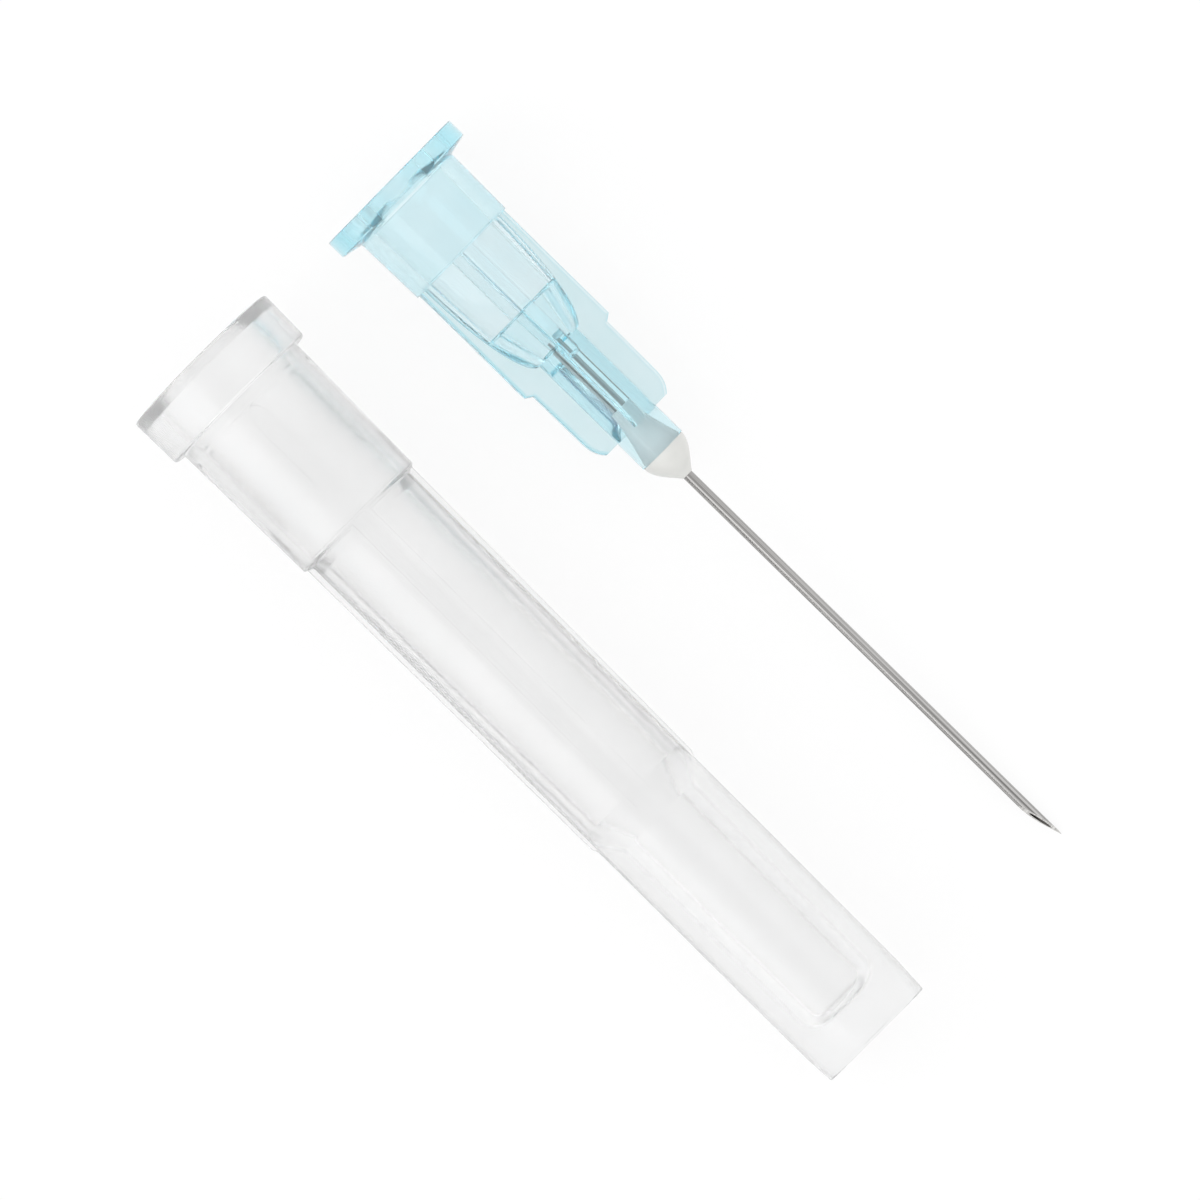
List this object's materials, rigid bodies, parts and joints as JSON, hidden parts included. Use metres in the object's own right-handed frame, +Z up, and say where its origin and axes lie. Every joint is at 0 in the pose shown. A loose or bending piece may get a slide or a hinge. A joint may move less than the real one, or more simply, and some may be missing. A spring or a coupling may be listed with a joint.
{
  "type": "hypodermic needle",
  "caption": "Hypodermic needle with a clear tinted winged hub, a glued steel tube ground to a lancet point, and its frosted cap taken off and lying beside it.",
  "frame": {"origin": "on the table, below the centre of the box round the needle and its cap", "axes": "+X the way the needle points, +Z up, with the cap lying on the -Y side"},
  "size_m": [0.0434, 0.0198, 0.0083],
  "materials": {
    "tinted_plastic": "clear moulded polypropylene, tinted pale cyan",
    "steel": "drawn stainless tube, satin along its length",
    "glue": "opaque off-white cured adhesive",
    "frosted_plastic": "milky translucent moulded polypropylene"
  },
  "bodies": {
    "needle": {"hub": "tinted_plastic", "cannula": "steel", "adhesive": "glue"},
    "cap": {"cap": "frosted_plastic"}
  },
  "joints": [
    {"name": "cap_draw", "type": "slide", "parent": "needle", "child": "cap", "axis": [1, -0.0087, 0], "range_m": [0, 0.044]}
  ]
}
